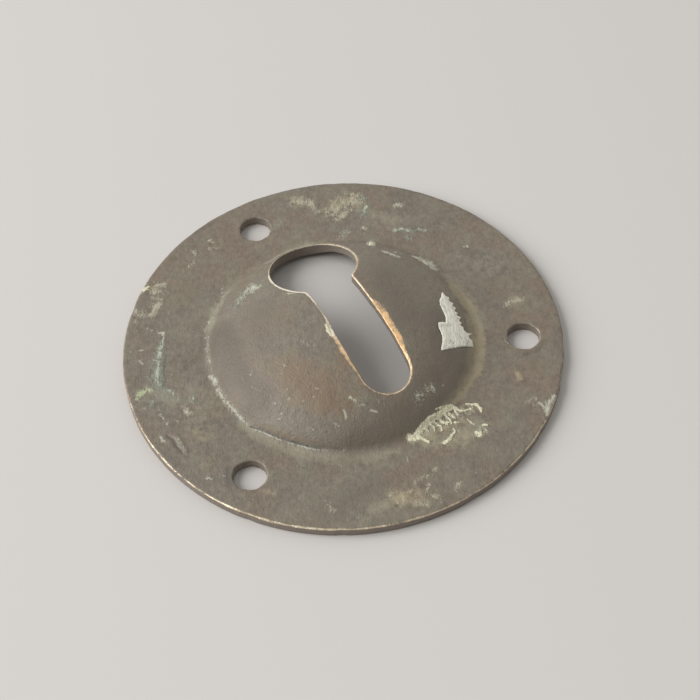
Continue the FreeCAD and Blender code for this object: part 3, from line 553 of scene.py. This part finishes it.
LEFT_WEAR_AND_HIGHLIGHT = (
    (13.0, 0.6), (11.0, 0.95), (9.5, 1.3), (4.5, 1.35), (2.0, 1.0), (0.5, 0.9), (-2.0, 1.1), (-5.0, 1.05),
    (-7.0, 0.85), (-10.5, 0.75),
)
RIGHT_WEAR_AND_HIGHLIGHT = (
    (14.0, 0.65), (12.0, 0.75), (9.0, 0.85), (6.0, 0.85), (5.0, 1.0), (2.0, 0.95), (0.2, 0.75), (-1.0, 0.7),
    (-2.0, 0.95), (-6.0, 1.0), (-8.0, 0.9), (-10.5, 0.85),
)
LEFT_GOLD = (
    (5.0, 0.1), (2.0, 0.3), (0.0, 0.3), (-1.5, 0.1), (-2.3, 0.2), (-3.0, 0.75), (-7.0, 0.9), (-9.5, 0.5),
)
RIGHT_GOLD = (
    (9.0, 0.1), (7.0, 0.4), (3.0, 0.45), (0.5, 0.5), (-0.5, 0.9), (-6.5, 1.0), (-8.0, 0.7), (-10.5, 0.4),
)
EDGE_DROP = 0.12
FACET_DROP = 0.26
CHIP_DROP = 0.07
KEY_UNEVENNESS = 0.025
SCREW_EDGE = 0.15
SCREW_UNEVENNESS = 0.03
# How many flat sides each filed screw hole has, and how deep they are.
SCREW_SIDES = (9, 7, 8)
SCREW_FLATS = (0.07, 0.04, 0.04)
RIM_EDGE = 0.18
RIM_WEAR = 0.025
RIM_UNEVENNESS = 0.02
RIM_GOLD = 0.2


def against_y(outline, table):
    """Value for each border point, from a table of y and value."""
    y, value = np.array(sorted(table)).T
    return np.interp(outline[:, 1], y, value)


def keyhole_border():
    outline = keyhole_outline()
    into = into_metal(outline, opening=True)
    leg = outline[:, 1] < BOW_Y - BOW_RADIUS
    right = outline[:, 0] > KEY_X
    straight = np.abs(into[:, 0])
    lean = np.where(right, against_y(outline, RIGHT_LEAN), against_y(outline, LEFT_LEAN)) * leg * straight
    outline = outline + into * (lean + KEY_UNEVENNESS * fractal(outline, 1.3, seed=31))[:, None]
    facet = np.where(right, against_y(outline, FACET_WIDTH), against_y(outline, CHIP_WIDTH))
    ragged = 1.0 + 0.22 * fractal(outline, 0.9, seed=33)
    edge = np.where(right, against_y(outline, RIGHT_EDGE), against_y(outline, LEFT_EDGE))
    width = ease_along(np.where(leg & (straight > 0.5), facet, edge) * ragged, 3)
    grown = smooth((width - 0.2) / 0.4)
    drop = np.where(right, EDGE_DROP * ragged * (1 - grown) + FACET_DROP * grown, CHIP_DROP * ragged)
    wear_and_highlight = np.where(right, against_y(outline, RIGHT_WEAR_AND_HIGHLIGHT), against_y(outline, LEFT_WEAR_AND_HIGHLIGHT))
    wear_and_highlight = wear_and_highlight * (1.0 + 0.25 * fractal(outline, 1.6, seed=35))
    gold = np.where(right, against_y(outline, RIGHT_GOLD), against_y(outline, LEFT_GOLD))
    return Border(outline, into, width, drop, 2.0 - 0.9 * grown, wear_and_highlight, gold)


def screw_border(index):
    """A screw hole, filed by hand and so a little many-sided."""
    turn = SCREW_TURN + index * FULL_TURN / SCREW_COUNT
    centre = SCREW_REACH * np.array([math.cos(turn), math.sin(turn)])
    count = round(FULL_TURN * SCREW_RADIUS / SCREW_SPACING)
    angles = np.linspace(0.0, FULL_TURN, count, endpoint=False)
    facing = np.abs(np.cos(SCREW_SIDES[index] / 2 * angles + index))
    radius = SCREW_RADIUS - SCREW_FLATS[index] * (facing ** 0.7 - 0.6)
    ring = np.column_stack([np.cos(angles), np.sin(angles)])
    uneven = SCREW_UNEVENNESS * noise(ring * 2.0 + centre, 0.8, seed=41)
    outline = centre + ring * (radius + uneven)[:, None]
    into = into_metal(outline, opening=True)
    width = SCREW_EDGE * (1.0 + 0.5 * fractal(outline, 1.1, seed=43))
    # Shine of the worn edge, with a painted highlight brightest on the hole's -Y side
    wear_and_highlight = 0.4 - 0.25 * np.sin(angles) + 0.2 * fractal(outline, 1.4, seed=45)
    return Border(outline, into, width, width * 0.7, 1.7, wear_and_highlight, gold=0.0)


# Brightness of the rim's worn edge against the bearing from +X in degrees: a painted highlight over the wear,
# brightest on the lower left.
RIM_WEAR_AND_HIGHLIGHT = (
    (-180.0, 0.55), (-170.0, 0.75), (-140.0, 0.85), (-110.0, 0.8), (-80.0, 0.75), (-50.0, 0.6), (-20.0, 0.35),
    (30.0, 0.3), (90.0, 0.3), (130.0, 0.4), (180.0, 0.55),
)
# Nicks in the rim: bearing in degrees, depth and half length.
RIM_NICKS = (
    (-39.0, 0.12, 0.8), (-36.5, 0.08, 0.5), (-141.0, 0.06, 0.7), (-118.0, 0.07, 0.5), (-84.0, 0.06, 0.8),
    (140.0, 0.07, 0.8), (132.0, 0.05, 0.5), (65.0, 0.05, 0.6), (-58.0, 0.06, 0.5), (12.0, 0.04, 0.6),
)


def rim_border():
    count = round(FULL_TURN * RIM_RADIUS / RIM_SPACING)
    angles = np.linspace(-math.pi, math.pi, count, endpoint=False)
    ring = np.column_stack([np.cos(angles), np.sin(angles)])
    worn = RIM_WEAR + RIM_UNEVENNESS * fractal(ring * RIM_RADIUS, 2.0, seed=51)
    for bearing, depth, half_length in RIM_NICKS:
        away = (angles - math.radians(bearing)) * RIM_RADIUS / half_length
        worn = worn + depth * np.exp(-away ** 2)
    outline = ring * (RIM_RADIUS - np.maximum(worn, 0.0))[:, None]
    into = into_metal(outline, opening=False)
    width = RIM_EDGE * (1.0 + 0.5 * fractal(outline, 1.8, seed=53))
    bearings, brightness = np.array(RIM_WEAR_AND_HIGHLIGHT).T
    wear_and_highlight = np.interp(np.degrees(angles), bearings, brightness) * (1.0 + 0.5 * fractal(outline, 1.6, seed=55))
    return Border(outline, into, width, width * 0.8, 1.5, wear_and_highlight, RIM_GOLD)


def inside(points, polygon):
    """Even-odd test of plan points against a closed polygon."""
    result = np.zeros(len(points), bool)
    for (x0, y0), (x1, y1) in zip(polygon, np.roll(polygon, -1, axis=0)):
        if y0 == y1:
            continue
        crosses = (y0 > points[:, 1]) != (y1 > points[:, 1])
        meets = x0 + (points[:, 1] - y0) * (x1 - x0) / (y1 - y0)
        result ^= crosses & (points[:, 0] < meets)
    return result


def gap_to(points, polygon, reach):
    """Distance from each plan point to a border's points, or reach where it is farther."""
    chunk = 2000
    gap = np.full(len(points), reach)
    near = np.all((points > polygon.min(0) - reach) & (points < polygon.max(0) + reach), axis=1)
    for start in range(0, int(near.sum()), chunk):
        chosen = np.flatnonzero(near)[start:start + chunk]
        apart = points[chosen][:, None, :] - polygon[None, :, :]
        gap[chosen] = np.minimum(gap[chosen], np.sqrt((apart ** 2).sum(2).min(1)))
    return gap


def lattice(spacing):
    """Triangular lattice of plan points over the plate, a little shaken so that it shows no rows."""
    steps = int(RIM_RADIUS / spacing) + 1
    column, row = np.meshgrid(np.arange(-steps, steps + 1), np.arange(-steps * 2, steps * 2 + 1))
    x = (column + 0.5 * (row % 2)) * spacing
    y = row * spacing * math.sqrt(3) / 2
    points = np.column_stack([x.ravel(), y.ravel()])
    points = points[np.hypot(points[:, 0], points[:, 1]) < RIM_RADIUS]
    return points + np.random.default_rng(71).uniform(-LATTICE_SHAKE, LATTICE_SHAKE, points.shape) * spacing


def detail(points):
    """True where small raised, sunk or painted features need the finer lattice."""
    wanted = np.zeros(len(points), bool)
    for _, *path in DENTS + CRUST_MARKS + PALE_AND_HIGHLIGHT_MARKS + LIME_MARKS:
        wanted |= stroke(points, path) > 0.05
    return wanted


def triangulate(rings, points):
    """Triangles over the rings' points and the others. The last ring is the outer one."""
    corners = np.vstack(rings + [points])
    edges = []
    first = 0
    for ring in rings:
        count = len(ring)
        edges += [(first + k, first + (k + 1) % count) for k in range(count)]
        first += count
    found = delaunay_2d_cdt([Vector(p) for p in corners], edges, [], 0, TOUCHING, True)
    source = np.array([ids[0] for ids in found[3]])
    triangles = source[np.array(found[2])]
    middles = corners[triangles].mean(1)
    keep = inside(middles, rings[-1])
    for ring in rings[:-1]:
        keep &= ~inside(middles, ring)
    return triangles[keep]


def fill_points(rings, points, spacing):
    """The points that lie in the sheet and clear of its borders."""
    for ring in rings[:-1]:
        points = points[~inside(points, ring)]
    points = points[inside(points, rings[-1])]
    for ring in rings:
        points = points[gap_to(points, ring, spacing) > spacing * 0.6]
    return points


def plate_mesh():
    """Vertices, triangles and what each vertex carries, for the whole pressed sheet."""
    borders = [keyhole_border()] + [screw_border(index) for index in range(SCREW_COUNT)] + [rim_border()]
    vertices, triangles, tops, bottoms = [], [], [], []
    fields = {"gold": [], "bare_and_highlight": [], "front": [], "wall": []}
    first = 0
    for border in borders:
        vertices += border.rows
        for name in fields:
            fields[name] += border.fields[name]
        here = np.arange(border.count)
        after = (here + 1) % border.count
        for row in range(len(border.rows) - 1):
            upper = first + row * border.count
            lower = upper + border.count
            triangles.append(np.column_stack([upper + here, lower + here, lower + after]))
            triangles.append(np.column_stack([upper + here, lower + after, upper + after]))
        tops.append(first + here)
        bottoms.append(first + (len(border.rows) - 1) * border.count + here)
        first += len(border.rows) * border.count

    coarse, fine = lattice(FRONT_LATTICE), lattice(FINE_LATTICE)
    front_points = np.vstack([coarse[~detail(coarse)], fine[detail(fine)]])
    skins = (
        ([b.front_ring for b in borders], tops, front_points, FRONT_LATTICE, front_height, 1.0),
        ([b.back_ring for b in borders], bottoms, lattice(BACK_LATTICE), BACK_LATTICE, back_height, 0.0),
    )
    for rings, ids, points, spacing, height, share in skins:
        points = fill_points(rings, points, spacing)
        vertices.append(np.column_stack([points, height(points)]))
        for name in fields:
            fields[name].append(np.full(len(points), share if name == "front" else 0.0))
        names = np.concatenate(ids + [first + np.arange(len(points))])
        triangles.append(names[triangulate(rings, points)])
        first += len(points)
    return np.vstack(vertices), np.vstack(triangles), {name: np.concatenate(v) for name, v in fields.items()}


def new_piece(name, vertices, triangles, fields):
    """Make a smooth-shaded mesh object in metres whose vertices carry the named fields."""
    mesh = bpy.data.meshes.new(name)
    mesh.vertices.add(len(vertices))
    mesh.vertices.foreach_set("co", (vertices * MM).astype(np.float32).ravel())
    mesh.loops.add(triangles.size)
    mesh.loops.foreach_set("vertex_index", triangles.astype(np.int32).ravel())
    mesh.polygons.add(len(triangles))
    mesh.polygons.foreach_set("loop_start", np.arange(0, triangles.size, 3, dtype=np.int32))
    mesh.polygons.foreach_set("use_smooth", np.ones(len(triangles), bool))
    mesh.update(calc_edges=True)
    mesh.validate()
    for field, values in fields.items():
        layer = mesh.attributes.new(field, "FLOAT", "POINT")
        layer.data.foreach_set("value", values.astype(np.float32))
    piece = bpy.data.objects.new(name, mesh)
    bpy.context.scene.collection.objects.link(piece)
    bpy.context.view_layer.objects.active = piece
    bpy.ops.object.mode_set(mode="EDIT")
    bpy.ops.mesh.select_all(action="SELECT")
    bpy.ops.mesh.normals_make_consistent(inside=False)
    bpy.ops.object.mode_set(mode="OBJECT")
    return piece


# Painted fields of the front: marks, how ragged noise makes them and its size in millimetres.
FIELDS = {
    "teal": (TEAL_MARKS, 0.6, 0.8),
    "pale_and_highlight": (PALE_AND_HIGHLIGHT_MARKS, 0.5, 0.5),
    "lime": (LIME_MARKS, 0.5, 0.5),
    "dust": (DUST_MARKS, 0.6, 0.7),
    "haze_and_painted_light": (HAZE_AND_PAINTED_LIGHT_MARKS, 0.4, 1.6),
    "ochre_and_painted_light": (OCHRE_AND_PAINTED_LIGHT_MARKS, 0.5, 1.2),
    "rust": (RUST_MARKS, 0.4, 1.8),
    "umber_and_shade": (UMBER_AND_SHADE_MARKS, 0.3, 2.2),
    "stain_and_shade": (STAIN_AND_SHADE_MARKS, 0.4, 0.8),
    "flecked": (FLECK_MARKS, 0.3, 1.6),
}


def make_plate():
    vertices, triangles, fields = plate_mesh()
    for seed, (name, (marks, ragged, size)) in enumerate(FIELDS.items(), start=81):
        fields[name] = fields["front"] * painted(vertices, marks, seed, ragged, size)
    fields["crust"] = fields["front"] * crust_field(vertices)
    plate = new_piece("plate_skin", vertices, triangles, fields)
    plate.data.materials.append(patina_material())
    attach(plate, "root")
    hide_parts(NODE)


class Paint:
    """Builds one material's nodes. Its methods return the socket that they made."""

    def __init__(self, name):
        self.material = bpy.data.materials.new(name)
        self.material.use_nodes = True
        self.tree = self.material.node_tree
        self.shader = self.tree.nodes["Principled BSDF"]
        self.place = self.node("ShaderNodeTexCoord").outputs["Object"]

    def node(self, kind, settings=None, inputs=None):
        node = self.tree.nodes.new(kind)
        for key, value in (settings or {}).items():
            setattr(node, key, value)
        for key, value in (inputs or {}).items():
            self.give(node.inputs[key], value)
        return node

    def give(self, socket, value):
        """Link a socket, or set its value."""
        if isinstance(value, bpy.types.NodeSocket):
            self.tree.links.new(value, socket)
        else:
            socket.default_value = value

    def field(self, name):
        return self.node("ShaderNodeAttribute", {"attribute_name": name}).outputs["Fac"]

    def noise(self, size, seed, detail=3.0, rough=0.5, stretch=None):
        """Noise about 0.5, with bumps size millimetres across, drawn out by stretch along a bearing."""
        place = self.place
        if stretch:
            bearing, length = stretch
            turned = self.node("ShaderNodeMapping", {}, {"Vector": place, "Rotation": (0.0, 0.0, -bearing)})
            drawn = {"Vector": turned.outputs["Vector"], "Scale": (1.0 / length, 1.0, 1.0)}
            place = self.node("ShaderNodeMapping", {}, drawn).outputs["Vector"]
        inputs = {
            "Vector": place, "W": float(seed), "Scale": 1.0 / (size * MM),
            "Detail": detail, "Roughness": rough,
        }
        return self.node("ShaderNodeTexNoise", {"noise_dimensions": "4D"}, inputs).outputs["Fac"]

    def sum(self, *terms):
        """Add up sockets, each given with its weight, and a constant."""
        total = terms[-1]
        for socket, weight in terms[:-1]:
            inputs = {0: socket, 1: weight, 2: total}
            total = self.node("ShaderNodeMath", {"operation": "MULTIPLY_ADD"}, inputs).outputs[0]
        return total

    def ramp(self, value, low, high, start=0.0, end=1.0):
        """Ease from start to end while value goes from low to high."""
        inputs = {"Value": value, "From Min": low, "From Max": high, "To Min": start, "To Max": end}
        return self.node("ShaderNodeMapRange", {"interpolation_type": "SMOOTHSTEP"}, inputs).outputs["Result"]

    def mix(self, share, first, second, mode="MIX"):
        node = self.node("ShaderNodeMix", {"data_type": "RGBA", "blend_type": mode})
        for index, value in ((0, share), (6, first), (7, second)):
            self.give(node.inputs[index], (*value, 1.0) if isinstance(value, tuple) else value)
        return node.outputs[2]

    def blend(self, share, first, second):
        """Number between first and second."""
        return self.node("ShaderNodeMix", {"data_type": "FLOAT"}, {0: share, 2: first, 3: second}).outputs[0]

    def spread(self, name, rough, weight, low, high, most):
        """Share of a painted layer: its field broken up by noise, and none where nothing is painted."""
        field = self.field(name)
        share = self.ramp(self.sum((field, 1.0), (rough, weight), 0.0), low, high, 0.0, most)
        return self.blend(self.ramp(field, 0.0, 0.2), 0.0, share)

    def bump(self, height, distance, strength):
        inputs = {"Height": height, "Distance": distance * MM, "Strength": strength}
        return self.node("ShaderNodeBump", {}, inputs).outputs["Normal"]


# Colours as they look in plain white light.
PATINA_GREY = (0.203, 0.175, 0.137)
PATINA_BROWN = (0.216, 0.174, 0.129)
PATINA_GREEN = (0.200, 0.182, 0.135)
# The next two are also painted light on the shaded foot of the dome
HAZE_AND_PAINTED_LIGHT = (0.310, 0.282, 0.210)
OCHRE_AND_PAINTED_LIGHT = (0.420, 0.350, 0.225)
RUST = (0.214, 0.148, 0.094)
# Brown that is also painted shade on the dome
UMBER_AND_SHADE = (0.136, 0.112, 0.086)
# Near black for stains and for painted shade in the crease, a dent and under a screw hole
STAIN_AND_SHADE = (0.085, 0.082, 0.080)
TEAL = (0.250, 0.285, 0.225)
# Pale residue, and also painted highlights on the crease ridges and beside a dent
PALE_AND_HIGHLIGHT = (0.530, 0.530, 0.425)
LIME = (0.460, 0.510, 0.310)
DUST = (0.490, 0.462, 0.345)
CRUST_LIGHT = (0.860, 0.830, 0.600)
CRUST_DULL = (0.600, 0.570, 0.400)
WALL_BROWN = (0.255, 0.215, 0.180)
BRASS = (0.810, 0.510, 0.255)
BRASS_DULL = (0.480, 0.330, 0.190)
RUBBED = (0.580, 0.525, 0.395)
RUBBED_DULL = (0.350, 0.300, 0.230)
# Painted highlight where a worn edge shines most
EDGE_HIGHLIGHT = (1.000, 0.930, 0.780)
BLACK = (0.0, 0.0, 0.0)
DOUBLE = (2.0, 2.0, 2.0)


def patina_material():
    """Old brass under a brown-grey skin, with verdigris, crust, stains and worn edges where the brass shows,
    plus painted shade on the dome, its crease and a dent, painted light on the dome's foot, and painted
    highlights on the edges.
    """
    p = Paint("patinated_brass")
    broad = p.noise(7.0, seed=1, detail=2.0)
    cloudy = p.noise(2.4, seed=2, detail=4.0, rough=0.6)
    grain = p.noise(0.55, seed=3, detail=4.0, rough=0.65)
    micro = p.noise(0.2, seed=4, detail=2.0)
    fibres = p.noise(0.14, seed=5, detail=2.0, stretch=(1.1, 5.0))
    dashes = p.noise(0.16, seed=6, detail=1.0, stretch=(-0.6, 3.0))

    colour = p.mix(p.ramp(broad, 0.4, 0.6), PATINA_GREY, PATINA_BROWN)
    colour = p.mix(p.ramp(cloudy, 0.45, 0.62, 0.0, 0.8), colour, PATINA_GREEN)
    value = p.sum((grain, 0.5), (micro, 0.2), (cloudy, 0.3), (fibres, 0.15), -0.07)
    colour = p.mix(1.0, colour, p.mix(value, BLACK, DOUBLE), "MULTIPLY")

    soft = p.sum((cloudy, 1.2), (grain, 0.8), -1.0)
    ragged = p.sum((grain, 1.2), (micro, 0.9), (fibres, 0.6), -1.35)
    haze_and_painted_light = p.spread("haze_and_painted_light", soft, 1.0, 0.1, 0.95, 0.85)
    ochre_and_painted_light = p.spread("ochre_and_painted_light", soft, 1.0, 0.15, 0.95, 0.75)
    rust = p.spread("rust", soft, 1.4, 0.1, 1.0, 0.75)
    umber_and_shade = p.spread("umber_and_shade", soft, 1.0, 0.05, 0.9, 0.75)
    stain_and_shade = p.spread("stain_and_shade", soft, 1.0, 0.2, 0.8, 0.85)
    dust = p.spread("dust", ragged, 1.9, 0.1, 0.95, 0.78)
    teal = p.spread("teal", ragged, 1.6, 0.2, 0.95, 0.85)
    lime = p.spread("lime", ragged, 1.8, 0.25, 0.8, 0.85)
    pale_and_highlight = p.spread("pale_and_highlight", ragged, 1.2, 0.18, 0.8, 0.9)
    crust = p.spread("crust", ragged, 0.7, 0.2, 0.55, 0.95)
    fleck = p.ramp(p.sum((dashes, 1.0), (p.field("flecked"), 0.14), 0.0), 0.8, 0.9, 0.0, 0.55)
    crust_tint = p.mix(p.ramp(micro, 0.35, 0.6), CRUST_DULL, CRUST_LIGHT)
    # Layers over the patina; the haze, ochre, umber, dark and pale ones also hold painted light and shade
    for share, tint in (
        (haze_and_painted_light, HAZE_AND_PAINTED_LIGHT), (ochre_and_painted_light, OCHRE_AND_PAINTED_LIGHT), (rust, RUST), (umber_and_shade, UMBER_AND_SHADE), (stain_and_shade, STAIN_AND_SHADE), (fleck, DUST),
        (dust, DUST), (teal, TEAL), (lime, LIME), (pale_and_highlight, PALE_AND_HIGHLIGHT), (crust, crust_tint),
    ):
        colour = p.mix(share, colour, tint)

    wall = p.ramp(p.sum((p.field("wall"), 1.0), (soft, 0.6), 0.0), 0.2, 0.8, 0.0, 0.9)
    colour = p.mix(wall, colour, WALL_BROWN)
    # Worn edges where the brass shows; their shine also paints a highlight, near white where it is strongest
    bare_and_highlight = p.ramp(p.sum((p.field("bare_and_highlight"), 1.0), (ragged, 0.9), 0.0), 0.3, 0.75)
    brass = p.mix(p.ramp(grain, 0.38, 0.6), BRASS_DULL, BRASS)
    # The rubbed colour steps from dull to light and then to near white with the shine, which is painted
    # highlight as well as wear
    wear_and_highlight = p.sum((p.field("bare_and_highlight"), 1.0), (ragged, 0.7), 0.0)
    rubbed_and_highlight = p.mix(p.ramp(wear_and_highlight, 0.45, 0.95), RUBBED_DULL, RUBBED)
    rubbed_and_highlight = p.mix(p.ramp(wear_and_highlight, 0.9, 1.15), rubbed_and_highlight, EDGE_HIGHLIGHT)
    colour = p.mix(bare_and_highlight, colour, p.mix(p.field("gold"), rubbed_and_highlight, brass))

    cover = p.sum((crust, 0.9), (pale_and_highlight, 0.6), (teal, 0.5), (dust, 0.5), 0.0)
    p.give(p.shader.inputs["Base Color"], colour)
    p.give(p.shader.inputs["Metallic"], p.blend(bare_and_highlight, p.sum((cover, -0.15), 0.15), 0.5))
    p.give(p.shader.inputs["Roughness"], p.blend(bare_and_highlight, p.sum((cover, 0.2), (grain, 0.3), 0.4), 0.42))
    uneven = p.sum((cloudy, 1.2), (grain, 1.0), (micro, 0.35), (fibres, 0.3), (cover, 0.6), 0.0)
    p.give(p.shader.inputs["Normal"], p.bump(uneven, 0.1, 1.0))
    return p.material


# The torn scrap of paper on the dome, in the plan, anticlockwise from its lowest left corner.
PAPER_OUTLINE = (
    (8.05, -8.31), (12.26, -8.30), (12.55, -7.55), (12.30, -7.20), (12.50, -6.95), (13.15, -6.66),
    (12.35, -6.70), (12.10, -6.30), (12.35, -6.00), (12.05, -5.65), (12.45, -5.35), (12.20, -5.05),
    (12.75, -4.60), (12.40, -4.30), (12.75, -3.95), (12.45, -3.65), (12.90, -3.20), (12.60, -2.90),
    (12.95, -2.50), (12.65, -2.15), (12.90, -1.60), (12.60, -1.35), (12.55, -0.70), (12.25, -1.05),
    (11.90, -1.55), (11.55, -1.85), (11.20, -2.50), (11.10, -3.10), (10.98, -3.75), (10.80, -4.45),
    (10.48, -5.14), (10.10, -4.98), (9.52, -5.02), (9.30, -5.55), (9.20, -6.20), (9.05, -6.85),
    (8.70, -7.35),
)
PAPER_SPACING = 0.14
PAPER_THICKNESS = 0.07
PAPER_LIFT = 0.02
PAPER_TEAR = 0.07
PAPER_CUT_Y = -8.0
PAPER_FRAY = 0.18
PAPER_CURL = 0.05
PAPER_FOLD_HEIGHT = 0.12
PAPER_CREASE_HEIGHT = 0.04
PAPER_ROUGHNESS = 0.015
PAPER_FOLD = ((9.4, -5.25, 0.22), (10.5, -5.3, 0.18))
PAPER_CREASES = (
    ((12.4, -1.2, 0.2), (11.4, -4.6, 0.2), (10.4, -8.0, 0.2)),
    ((12.4, -3.0, 0.16), (11.2, -6.6, 0.18)),
    ((9.8, -5.8, 0.18), (9.4, -8.0, 0.18)),
)


def make_paper():
    """A thin torn scrap that lies on the dome, with a small raised fold and a frayed edge."""
    corners = np.array(PAPER_OUTLINE)
    following = np.roll(corners, -1, axis=0)
    outline = np.vstack([
        line_points(tuple(a), tuple(b), PAPER_SPACING / 2) for a, b in zip(corners, following)
    ])
    outline = ease_along(outline, 1)
    torn = np.column_stack([fractal(outline, 0.45, seed) for seed in (101, 104)])
    outline = outline + PAPER_TEAR * torn * smooth((outline[:, 1] - PAPER_CUT_Y) / 0.3)[:, None]
    points = lattice(PAPER_SPACING)
    points = points[inside(points, outline)]
    points = points[gap_to(points, outline, 1.0) > PAPER_SPACING * 0.5]
    plan = np.vstack([outline, points])
    triangles = triangulate([outline], points)

    to_edge = gap_to(plan, outline, 1.0)
    fibre = PAPER_THICKNESS * (0.35 + 0.65 * smooth(to_edge / PAPER_FRAY))
    curl = PAPER_CURL * smooth(0.5 + fractal(plan, 1.6, seed=103))
    curl = curl + PAPER_FOLD_HEIGHT * smooth(stroke(plan, PAPER_FOLD) * 1.5)
    for path in PAPER_CREASES:
        curl = curl + PAPER_CREASE_HEIGHT * smooth(stroke(plan, path))
    under = front_height(plan) + PAPER_LIFT + curl
    top = np.column_stack([plan, under + fibre + PAPER_ROUGHNESS * fractal(plan, 0.35, seed=105)])
    bottom = np.column_stack([plan, under])
    count = len(outline)
    here = np.arange(count)
    after = (here + 1) % count
    below = len(plan)
    walls = [
        np.column_stack([here, below + here, below + after]),
        np.column_stack([here, below + after, after]),
    ]
    faces = np.vstack([triangles, triangles[:, ::-1] + below] + walls)
    fields = {"torn": np.tile(1.0 - smooth(to_edge / 0.3), 2), "lit": np.tile(smooth(curl / 0.1), 2)}
    paper = new_piece("paper_scrap", np.vstack([top, bottom]), faces, fields)
    paper.data.materials.append(paper_material())
    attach(paper, "root")


PAPER_WHITE = (0.880, 0.860, 0.740)
PAPER_GREY = (0.380, 0.370, 0.310)


def paper_material():
    """Dirty white paper with fibres and rubbed grey patches."""
    p = Paint("paper")
    cloudy = p.noise(0.9, seed=31, detail=4.0, rough=0.6)
    fibres = p.noise(0.2, seed=32, detail=3.0, stretch=(1.2, 3.0))
    clean = p.sum((cloudy, 1.4), (fibres, 1.2), (p.field("torn"), 0.25), (p.field("lit"), 0.25), -0.9)
    p.give(p.shader.inputs["Base Color"], p.mix(p.ramp(clean, 0.05, 0.5), PAPER_GREY, PAPER_WHITE))
    p.give(p.shader.inputs["Roughness"], p.ramp(cloudy, 0.3, 0.7, 0.5, 0.8))
    p.give(p.shader.inputs["Normal"], p.bump(p.sum((fibres, 1.0), (cloudy, 1.0), 0.0), 0.12, 0.9))
    return p.material


FLOOR_HALF = 900.0
FLOOR_COLOUR = (0.688, 0.662, 0.636)
FLOOR_SINK = 0.02
FLOOR_ROUGHNESS = 0.9
FLOOR_SPECULAR = 0.2


def make_floor():
    mesh = bpy.data.meshes.new("floor")
    signs = ((-1, -1), (1, -1), (1, 1), (-1, 1))
    corners = [(x * FLOOR_HALF * MM, y * FLOOR_HALF * MM, -FLOOR_SINK * MM) for x, y in signs]
    mesh.from_pydata(corners, [], [(0, 1, 2, 3)])
    floor = bpy.data.objects.new("floor", mesh)
    bpy.context.scene.collection.objects.link(floor)
    material = bpy.data.materials.new("pale_floor")
    material.use_nodes = True
    shader = material.node_tree.nodes["Principled BSDF"]
    shader.inputs["Base Color"].default_value = (*FLOOR_COLOUR, 1.0)
    shader.inputs["Roughness"].default_value = FLOOR_ROUGHNESS
    shader.inputs["Specular IOR Level"].default_value = FLOOR_SPECULAR
    mesh.materials.append(material)


# Soft window light from the camera's left and far side, and a low fill that is brightest on the far right.
WINDOW_DIRECTION = (-0.78, 0.30, 0.60)
WINDOW_DISTANCE = 900.0
WINDOW_SIZE = 800.0
WINDOW_POWER = 9.0
FILL_DIRECTION = (0.60, 0.75, -0.10)
FILL_DARK = 0.06
FILL_BRIGHT = 0.82
FILL_COLOUR = (1.0, 0.99, 0.97)
BACKGROUND_LEVEL = 0.80


def make_light():
    lamp = bpy.data.lights.new("window", "AREA")
    lamp.shape = "SQUARE"
    lamp.size = WINDOW_SIZE * MM
    lamp.energy = WINDOW_POWER
    window = bpy.data.objects.new("window", lamp)
    bpy.context.scene.collection.objects.link(window)
    direction = Vector(WINDOW_DIRECTION).normalized()
    window.location = direction * WINDOW_DISTANCE * MM
    window.rotation_mode = "QUATERNION"
    window.rotation_quaternion = (-direction).to_track_quat("-Z", "Y")

    world = bpy.data.worlds.new("studio")
    bpy.context.scene.world = world
    world.use_nodes = True
    nodes, links = world.node_tree.nodes, world.node_tree.links
    background = nodes["Background"]
    background.inputs["Color"].default_value = (*FILL_COLOUR, 1.0)
    path = nodes.new("ShaderNodeLightPath")
    seen = path.outputs["Is Camera Ray"]
    for name in ("Is Glossy Ray", "Is Transmission Ray"):
        either = nodes.new("ShaderNodeMath")
        either.operation = "MAXIMUM"
        links.new(seen, either.inputs[0])
        links.new(path.outputs[name], either.inputs[1])
        seen = either.outputs[0]
    sight = nodes.new("ShaderNodeTexCoord")
    facing = nodes.new("ShaderNodeVectorMath")
    facing.operation = "DOT_PRODUCT"
    facing.inputs[1].default_value = Vector(FILL_DIRECTION).normalized()
    links.new(sight.outputs["Generated"], facing.inputs[0])
    fill = nodes.new("ShaderNodeMapRange")
    fill.inputs["From Min"].default_value = -1.0
    fill.inputs["To Min"].default_value = FILL_DARK
    fill.inputs["To Max"].default_value = FILL_BRIGHT
    links.new(facing.outputs["Value"], fill.inputs["Value"])
    level = nodes.new("ShaderNodeMapRange")
    level.inputs["To Max"].default_value = BACKGROUND_LEVEL
    links.new(fill.outputs["Result"], level.inputs["To Min"])
    links.new(seen, level.inputs["Value"])
    links.new(level.outputs["Result"], background.inputs["Strength"])


def make_camera():
    """The photograph's viewpoint: a long lens from the front left, a little rolled."""
    back = Vector((
        math.sin(CAMERA_AZIMUTH) * math.cos(CAMERA_ELEVATION),
        -math.cos(CAMERA_AZIMUTH) * math.cos(CAMERA_ELEVATION),
        math.sin(CAMERA_ELEVATION),
    ))
    level_right = Vector((math.cos(CAMERA_AZIMUTH), math.sin(CAMERA_AZIMUTH), 0.0))
    right = level_right * math.cos(CAMERA_ROLL) + back.cross(level_right) * math.sin(CAMERA_ROLL)
    up = back.cross(right)
    data = bpy.data.cameras.new("camera")
    data.lens = LENS
    data.sensor_width = SENSOR
    data.clip_start = MM
    camera = bpy.data.objects.new("camera", data)
    place = (Vector(CAMERA_TARGET) + back * CAMERA_DISTANCE) * MM
    camera.matrix_world = Matrix.Translation(place) @ Matrix((right, up, back)).transposed().to_4x4()
    bpy.context.scene.collection.objects.link(camera)
    bpy.context.scene.camera = camera


make_plate()
make_paper()
make_floor()
make_light()
make_camera()
bpy.context.scene.view_settings.view_transform = "Standard"
